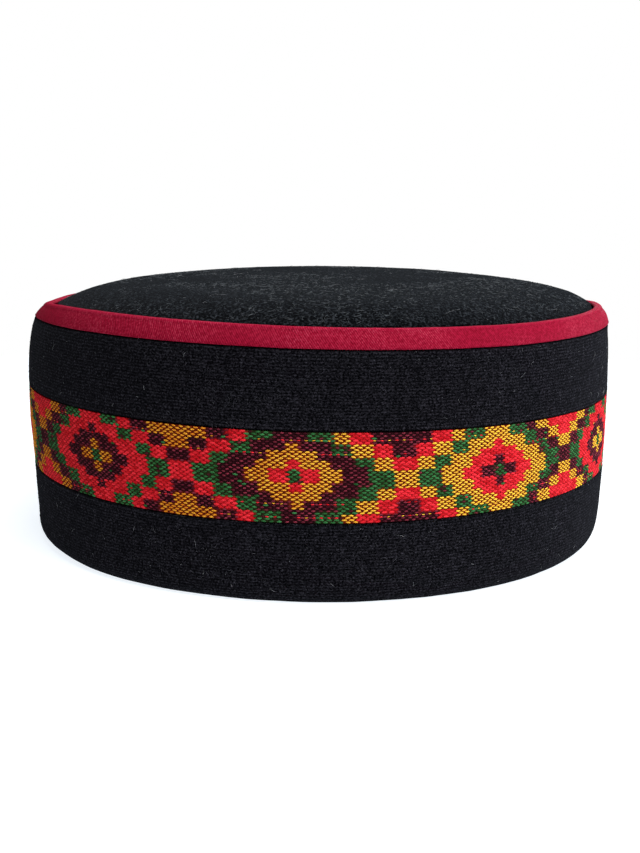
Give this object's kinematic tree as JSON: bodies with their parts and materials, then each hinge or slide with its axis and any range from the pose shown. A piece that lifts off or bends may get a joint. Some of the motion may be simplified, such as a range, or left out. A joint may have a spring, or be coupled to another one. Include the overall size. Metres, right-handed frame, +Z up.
{
  "type": "kullu cap",
  "caption": "Round black wool cap with a turned-up band, a woven diamond border sewn into the band and a red bound edge.",
  "frame": {"origin": "centre of the cap's bounding box, on the plane of the lower fold that it stands on", "axes": "+Z up through the crown, -Y out of the middle of the front, +X to the right of someone who faces the front"},
  "size_m": [0.195, 0.195, 0.0845],
  "materials": {
    "black_wool": "black felted wool cloth, matt and slightly hairy",
    "patterned_weave": "hand-loomed wool weave with diamonds in red, yellow, maroon and green",
    "red_satin": "crimson bias binding with a fine twill and a soft sheen"
  },
  "bodies": {
    "root": {"crown": "black_wool", "side_wall": "black_wool", "turned_up_band": "black_wool", "woven_border": "patterned_weave", "edge_binding": "red_satin"}
  },
  "joints": []
}
